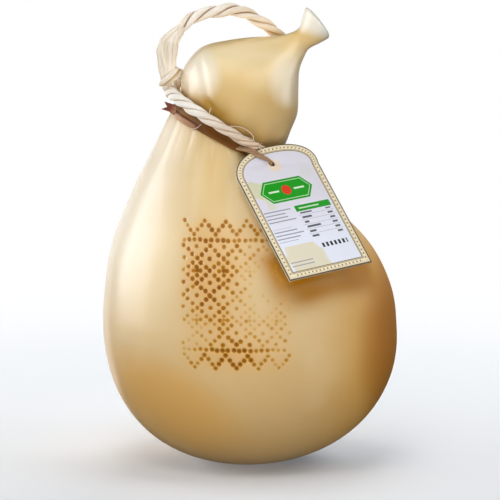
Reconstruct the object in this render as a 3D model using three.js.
// Caciocavallo: a hung stretched-curd cheese with a pear-shaped body, a roped neck and a small head.
// Millimetres, +Z up. The cheese stands on a small flat foot whose centre is the origin.
// The front faces -Y, and the head leans to +X.
import * as THREE from "three";

// The body: a round foot and a full belly, a little lower on the right.
const FOOT_RADIUS = 14;
const BELLY_RADIUS = 74.2;
const BELLY_HEIGHT = 68.8;
const BELLY_LEAN = 4.6;
const BELLY_SHIFT = 1.5;
const BELLY_FULLNESS = 2.2;
const BELLY_RINGS = 12;

// The upper body, neck, head and stem: round sections on a spine that leans left, then bends right.
// x and z are a section's centre, lean is how far its right side is turned down, in degrees,
// and rings is how many steps lead up to it from the section below.
const SECTIONS = [
  { name: "belly", x: BELLY_SHIFT, z: BELLY_HEIGHT, radius: BELLY_RADIUS, lean: BELLY_LEAN, rings: 0 },
  { name: "upper belly", x: 1.5, z: 89.2, radius: 72.5, lean: 4.6, rings: 4 },
  { name: "shoulder", x: 0.1, z: 105.5, radius: 67.9, lean: 4.6, rings: 3 },
  { name: "upper shoulder", x: -2.1, z: 118.8, radius: 60.8, lean: 4.8, rings: 3 },
  { name: "slope", x: -6.2, z: 135.6, radius: 48.8, lean: 8, rings: 4 },
  { name: "neck root", x: -9, z: 148.7, radius: 38.5, lean: 16, rings: 4 },
  { name: "neck foot", x: -10, z: 159, radius: 32.4, lean: 27, rings: 4 },
  { name: "neck", x: -9.3, z: 167.6, radius: 29.5, lean: 31, rings: 6 },
  { name: "head foot", x: -7.2, z: 173.4, radius: 30.2, lean: 30, rings: 3 },
  { name: "lower head", x: -5.1, z: 180.6, radius: 30.8, lean: 28, rings: 3 },
  { name: "head", x: -1.9, z: 187.5, radius: 30.4, lean: 27, rings: 3 },
  { name: "head shoulder", x: 2.2, z: 196.1, radius: 26.4, lean: 27, rings: 4 },
  { name: "crown", x: 10, z: 202.7, radius: 18.2, lean: 28, rings: 3 },
  { name: "stem root", x: 22.8, z: 207.7, radius: 8, lean: 41, rings: 4 },
  { name: "stem", x: 27.9, z: 211, radius: 5.8, lean: 59, rings: 3 },
  { name: "flare", x: 31.3, z: 214.7, radius: 7.6, lean: 55, rings: 3 },
  { name: "lip", x: 35, z: 219.4, radius: 10, lean: 51, rings: 3 },
];
const CHEESE_SIDES = 60;

// The groove that the rope presses into the neck, and the gathers that run out of it.
const GROOVE_DEPTH = 1.8;
const GROOVE_REACH = 4.5;
const GATHERS = 13;
const GATHER_DEPTH = 0.8;
const GATHER_REACH_DOWN = 20;
const GATHER_REACH_UP = 9;

// Pieces that touch keep this gap.
const TOUCH_GAP = 0.3;

// The rope: a ring in the groove, with a splayed bundle and a turn at its knot on the left.
const ROPE_RADIUS = 3.2;
const ROPE_SIDES = 10;
const RING_RADIUS = 33;
const RING_STEPS = 48;
const BUNDLE_PATH = [
  [-39.9, -1.8, 188.1],
  [-39.7, -1.8, 190.4],
  [-39.8, -1.6, 194],
  [-39.8, -1.2, 200],
  [-39.6, -1, 205.5],
  [-38.4, -0.8, 209.4],
  [-36, -0.6, 212.6],
  [-34, -0.5, 214.8],
];
const BUNDLE_WIDTHS = [3.8, 7, 9.2, 11, 12.6, 12, 9, 6.8];
const BUNDLE_FLATNESS = 0.72;
const BUNDLE_STEPS = 14;
const TURN_PATH = [
  [-35.6, 9, 187.5],
  [-34.8, 8.8, 190.4],
  [-35.2, 7.6, 193.8],
  [-37.2, 5.4, 197],
  [-38.8, 4.1, 199],
];
const TURN_WIDTHS = [4, 5, 5, 4.2, 3.2];
const TURN_STEPS = 8;

// The free loop: up from the bundle, over the head, and down behind it to a hitch on the ring's back.
const LOOP_PATH = [
  [-33.6, -0.5, 215.2],
  [-31.4, 0, 217.7],
  [-25, 1.5, 222.3],
  [-16, 3.5, 224.6],
  [-7.2, 5.5, 225.4],
  [-0.2, 7.5, 223.7],
  [6.5, 9.5, 219.7],
  [12.6, 11.6, 215.7],
  [17, 14, 211.3],
  [19.6, 17.6, 205.4],
  [20, 21.4, 198.8],
  [18.2, 26.4, 190.4],
  [12.6, 31.4, 182.4],
  [5.6, 34, 176],
  [0.1, 34.6, 171.6],
];
const LOOP_STEPS = 30;
const HITCH_ANGLE = 80;
const HITCH_WIDTH = 5.2;
const HITCH_TIP_WIDTH = 3;
const HITCH_START = 84;
const HITCH_END = -78;
const HITCH_STEPS = 10;

// The brown strip tied round the neck just below the rope, and its torn end at the left.
const TIE_TOP = -3.4;
const TIE_WIDTH = 5.2;
const TIE_THICKNESS = 0.7;
const TIE_SIDES = 60;
const TAIL_ANGLE = -152;
const TAIL_HEIGHT = -5.2;
const TAIL_LIFT = 2.5;
const TAIL_TURN = 150;
const TAIL_RISE = 14;
const TAIL_LENGTH = 8.6;
const TAIL_WIDTH = 4;
const TAIL_NOTCH = 3.2;

// The tag: a card with an arched top that leans a little, turned to the right, tipped back and rolled, on the shoulder.
const TAG_WIDTH = 48.8;
const TAG_STRAIGHT = 58.4;
const TAG_ARCH = 14.5;
const TAG_FULLNESS = 2.3;
const TAG_LEAN = 1.3;
const TAG_SKEW = 4;
const TAG_THICKNESS = 0.8;
const TAG_HOLE_RADIUS = 1.8;
const TAG_HOLE_HEIGHT = 63.3;
const TAG_PLACE = [39.5, -65.2, 102.4];
const TAG_TURN = 30.1;
const TAG_TIP = 38.5;
const TAG_ROLL = 8.7;
const ARCH_SEGMENTS = 28;

// The string from the tie over the card's edge and into its hole, in the card's own x, y and z.
const STRING_PATH = [
  [-10.6, 76.5, -4.9],
  [-10.2, 75.6, -1.2],
  [-9.2, 73.2, 1],
  [-6.6, 70.2, 1.8],
  [-3.6, 67.1, 1.8],
  [-0.9, 64.5, 1.5],
  [0, TAG_HOLE_HEIGHT, 0.4],
  [0.1, TAG_HOLE_HEIGHT - 0.1, -0.9],
];
const STRING_WIDTHS = [2.4, 3.2, 4.2, 4.2, 3.8, 2.8, 2.4, 2];
const STRING_FLATNESS = 0.3;
const STRING_STEPS = 16;

const SEARCH_STEPS = 24;
const degrees = THREE.MathUtils.degToRad;

function finish(color, roughness) {
  return new THREE.MeshStandardMaterial({ color, roughness, metalness: 0 });
}

function part(name, geometry, material) {
  const mesh = new THREE.Mesh(geometry, material);
  mesh.name = name;
  return mesh;
}

function curveThrough(points) {
  return new THREE.CatmullRomCurve3(points.map((p) => new THREE.Vector3(...p)), false, "centripetal");
}

// A lathe on a straight axis whose vertices are then set in place by a rule of row and angle.
function placedLathe(radii, sides, place) {
  const profile = radii.map((radius, row) => new THREE.Vector2(radius, row));
  const geometry = new THREE.LatheGeometry(profile, sides);
  const position = geometry.getAttribute("position");
  for (let i = 0; i < position.count; i++) {
    const angle = Math.atan2(position.getX(i), position.getZ(i));
    const point = place(Math.round(position.getY(i)), angle);
    position.setXYZ(i, point.x, point.y, point.z);
  }
  return geometry;
}

// A section of the belly, from the foot's edge (share 0) up to the widest place (share 1).
const footShare = (1 - (FOOT_RADIUS / BELLY_RADIUS) ** BELLY_FULLNESS) ** (1 / BELLY_FULLNESS);
function bellySection(share) {
  const drop = footShare * Math.cos(share * Math.PI / 2);
  return {
    x: BELLY_SHIFT * share,
    z: BELLY_HEIGHT * (1 - drop / footShare),
    radius: BELLY_RADIUS * (1 - drop ** BELLY_FULLNESS) ** (1 / BELLY_FULLNESS),
    lean: degrees(BELLY_LEAN) * share ** 3,
  };
}

// A section of the upper body: step 0 is the belly, and each whole step is the next named section.
const spine = curveThrough(SECTIONS.map((s) => [s.x, s.z, s.radius]));
const leans = curveThrough(SECTIONS.map((s, i) => [i, degrees(s.lean), 0]));
const lastStep = SECTIONS.length - 1;
function spineSection(step) {
  const middle = spine.getPoint(step / lastStep);
  return { x: middle.x, z: middle.y, radius: middle.z, lean: leans.getPoint(step / lastStep).y };
}

const neckStep = SECTIONS.findIndex((s) => s.name === "neck");
const neck = spineSection(neckStep);
const neckMiddle = new THREE.Vector3(neck.x, 0, neck.z);
const neckAxis = new THREE.Vector3(Math.sin(neck.lean), 0, Math.cos(neck.lean));

// How far a point lies above the rope ring's plane.
function aboveNeck(point) {
  return point.clone().sub(neckMiddle).dot(neckAxis);
}

// A point of a section: angle 0 is its right side, and a quarter turn on is its back.
function pointOn(section, angle, radius) {
  const across = radius * Math.cos(angle);
  return new THREE.Vector3(
    section.x + across * Math.cos(section.lean),
    radius * Math.sin(angle),
    section.z - across * Math.sin(section.lean));
}

// The cheese's skin on a section, with the rope's groove and the gathers that run out of it.
function skinPoint(section, angle, lift = 0) {
  const height = aboveNeck(pointOn(section, angle, 0));
  const reach = height < 0 ? GATHER_REACH_DOWN : GATHER_REACH_UP;
  const gather = GATHER_DEPTH * Math.exp(-((height / reach) ** 2));
  const groove = GROOVE_DEPTH * Math.exp(-((height / GROOVE_REACH) ** 2));
  const relief = gather * Math.cos(GATHERS * angle + Math.sin(2 * angle)) - groove;
  return pointOn(section, angle, section.radius + relief + lift);
}

function cheeseGeometry() {
  const sections = [];
  for (let i = 0; i < BELLY_RINGS; i++) {
    sections.push(bellySection(i / BELLY_RINGS));
  }
  sections.push(spineSection(0));
  for (let step = 1; step <= lastStep; step++) {
    const rings = SECTIONS[step].rings;
    for (let i = 1; i <= rings; i++) {
      sections.push(spineSection(step - 1 + i / rings));
    }
  }
  const rows = [{ ...sections[0], radius: 0 }, ...sections, { ...sections.at(-1), radius: 0 }];
  return placedLathe(rows.map((row) => row.radius), CHEESE_SIDES, (row, angle) => {
    const section = rows[row];
    return section.radius > 0 ? skinPoint(section, angle) : pointOn(section, angle, 0);
  });
}

// A point about the rope ring's middle line, outward from the neck and along the neck's axis.
function ringPoint(angle, outward, along) {
  return pointOn(neck, angle, RING_RADIUS + outward).addScaledVector(neckAxis, along);
}

function ringGeometry() {
  const rows = Array(ROPE_SIDES + 1).fill(1);
  return placedLathe(rows, RING_STEPS, (row, angle) => {
    const around = 2 * Math.PI * (row % ROPE_SIDES) / ROPE_SIDES;
    return ringPoint(angle, ROPE_RADIUS * Math.cos(around), ROPE_RADIUS * Math.sin(around));
  });
}

// A rope end, a turn or a string: widths along a path, with each section flattened along one direction.
function bundleGeometry(path, widths, flatness, steps, flatWay = new THREE.Vector3(0, 1, 0)) {
  const curve = curveThrough(path);
  const swell = curveThrough(widths.map((width, i) => [i, width / 2, 0]));
  const rows = [{ share: 0, radius: 0 }];
  for (let i = 0; i <= steps; i++) {
    rows.push({ share: i / steps, radius: swell.getPoint(i / steps).y });
  }
  rows.push({ share: 1, radius: 0 });
  return placedLathe(rows.map((row) => row.radius), ROPE_SIDES, (row, angle) => {
    const { share, radius } = rows[row];
    const tangent = curve.getTangent(share);
    const side = new THREE.Vector3().crossVectors(flatWay, tangent).normalize();
    const depth = new THREE.Vector3().crossVectors(tangent, side);
    return curve.getPoint(share)
      .addScaledVector(side, radius * Math.cos(angle))
      .addScaledVector(depth, radius * flatness * Math.sin(angle));
  });
}

// A plain round tube along the loop's path, with flat ends.
function loopGeometry() {
  const corners = [];
  for (let i = 0; i < ROPE_SIDES; i++) {
    const around = 2 * Math.PI * i / ROPE_SIDES;
    corners.push(new THREE.Vector2(ROPE_RADIUS * Math.cos(around), ROPE_RADIUS * Math.sin(around)));
  }
  const section = new THREE.Shape(corners);
  return new THREE.ExtrudeGeometry(section, { extrudePath: curveThrough(LOOP_PATH), steps: LOOP_STEPS });
}

// The hitch: an arc of rope over the outside of the ring.
function hitchGeometry() {
  const distance = ROPE_RADIUS + TOUCH_GAP + HITCH_WIDTH / 2;
  const path = [];
  for (let i = 0; i <= HITCH_STEPS; i++) {
    const turn = degrees(HITCH_START + (HITCH_END - HITCH_START) * i / HITCH_STEPS);
    const point = ringPoint(degrees(HITCH_ANGLE), distance * Math.cos(turn), distance * Math.sin(turn));
    path.push(point.toArray());
  }
  const widths = [HITCH_TIP_WIDTH, HITCH_WIDTH, HITCH_WIDTH, HITCH_WIDTH, HITCH_TIP_WIDTH];
  return bundleGeometry(path, widths, 1, HITCH_STEPS);
}

// The step between two where a rule on the skin's point at an angle stops being true, by halving.
function searchStep(low, high, angle, stillBelow) {
  for (let i = 0; i < SEARCH_STEPS; i++) {
    const step = (low + high) / 2;
    if (stillBelow(skinPoint(spineSection(step), angle))) {
      low = step;
    } else {
      high = step;
    }
  }
  return low;
}

// The step where the skin at an angle reaches a height above the rope ring's plane.
function stepAtHeight(angle, height) {
  return searchStep(neckStep - 2, neckStep + 1, angle, (point) => aboveNeck(point) < height);
}

// The tie: a thin strip that lies on the cheese below the rope, closed into a ring.
function tieGeometry() {
  const drops = [TIE_WIDTH, TIE_WIDTH / 2, 0];
  const inner = drops.map((drop) => ({ drop, lift: TOUCH_GAP }));
  const outer = drops.map((drop) => ({ drop, lift: TOUCH_GAP + TIE_THICKNESS })).reverse();
  const outline = [...inner, ...outer, inner[0]].reverse();
  return placedLathe(outline.map(() => 1), TIE_SIDES, (row, angle) => {
    const { drop, lift } = outline[row];
    const topStep = stepAtHeight(angle, TIE_TOP);
    const top = skinPoint(spineSection(topStep), angle);
    const step = searchStep(neckStep - 3, topStep, angle, (point) => point.distanceTo(top) > drop);
    return skinPoint(spineSection(step), angle, lift);
  });
}

// The tie's end: a short strip, torn to two points, that stands off to the left.
function placedTail() {
  const half = TAIL_WIDTH / 2;
  const strip = new THREE.Shape();
  strip.moveTo(0, -half);
  strip.lineTo(TAIL_LENGTH, -half);
  strip.lineTo(TAIL_LENGTH - TAIL_NOTCH, 0);
  strip.lineTo(TAIL_LENGTH - TAIL_NOTCH / 3, half);
  strip.lineTo(0, half);
  strip.closePath();
  const geometry = new THREE.ExtrudeGeometry(strip, { depth: TIE_THICKNESS, bevelEnabled: false });
  const tail = part("tie_tail", geometry, finish(0x8a4a35, 0.6));
  tail.rotation.set(degrees(90), 0, degrees(TAIL_RISE));
  const angle = degrees(TAIL_ANGLE);
  const turned = new THREE.Group();
  turned.position.copy(skinPoint(spineSection(stepAtHeight(angle, TAIL_HEIGHT)), angle, TAIL_LIFT));
  turned.rotation.z = degrees(TAIL_TURN);
  turned.add(tail);
  return turned;
}

function tagGeometry() {
  const half = TAG_WIDTH / 2;
  const card = new THREE.Shape();
  card.moveTo(-half, 0);
  card.lineTo(half, 0);
  for (let i = 0; i <= ARCH_SEGMENTS; i++) {
    const angle = (Math.PI * i) / ARCH_SEGMENTS;
    const across = Math.abs(Math.cos(angle)) ** (2 / TAG_FULLNESS) * (2 * i < ARCH_SEGMENTS ? half : -half);
    const rise = Math.max(Math.sin(angle), 0) ** (2 / TAG_FULLNESS);
    card.lineTo(across + TAG_LEAN + TAG_SKEW * rise, TAG_STRAIGHT + TAG_ARCH * rise);
  }
  card.closePath();
  const hole = new THREE.Path();
  hole.absarc(0, TAG_HOLE_HEIGHT, TAG_HOLE_RADIUS, 0, 2 * Math.PI, true);
  card.holes.push(hole);
  const options = { depth: TAG_THICKNESS, bevelEnabled: false, curveSegments: ARCH_SEGMENTS };
  return new THREE.ExtrudeGeometry(card, options);
}

function stringGeometry() {
  const cardNormal = new THREE.Vector3(0, 0, 1);
  return bundleGeometry(STRING_PATH, STRING_WIDTHS, STRING_FLATNESS, STRING_STEPS, cardNormal);
}

// The card stands up and faces the front, then rolls in its own plane, tips back and turns to the right.
function placedTag() {
  const rolled = new THREE.Group();
  rolled.add(part("tag", tagGeometry(), finish(0xdedce8, 0.5)));
  rolled.add(part("tag_string", stringGeometry(), finish(0xa58260, 0.8)));
  rolled.rotation.z = degrees(TAG_ROLL);
  const tipped = new THREE.Group();
  tipped.rotation.x = degrees(90 - TAG_TIP);
  tipped.add(rolled);
  const turned = new THREE.Group();
  turned.rotation.z = degrees(TAG_TURN);
  turned.position.set(...TAG_PLACE);
  turned.add(tipped);
  return turned;
}

const bundle = bundleGeometry(BUNDLE_PATH, BUNDLE_WIDTHS, BUNDLE_FLATNESS, BUNDLE_STEPS);
const turn = bundleGeometry(TURN_PATH, TURN_WIDTHS, 1, TURN_STEPS);
const caciocavallo = new THREE.Group();
caciocavallo.add(part("cheese", cheeseGeometry(), finish(0xdcb878, 0.38)));
caciocavallo.add(part("rope_ring", ringGeometry(), finish(0xe6d8bd, 0.9)));
caciocavallo.add(part("rope_bundle", bundle, finish(0xeae0cc, 0.9)));
caciocavallo.add(part("rope_turn", turn, finish(0xd8c6a0, 0.9)));
caciocavallo.add(part("rope_loop", loopGeometry(), finish(0xe6d8bd, 0.9)));
caciocavallo.add(part("rope_hitch", hitchGeometry(), finish(0xe0d0b0, 0.9)));
caciocavallo.add(part("tie", tieGeometry(), finish(0x7a4a20, 0.6)));
caciocavallo.add(placedTail());
caciocavallo.add(placedTag());

export default caciocavallo;
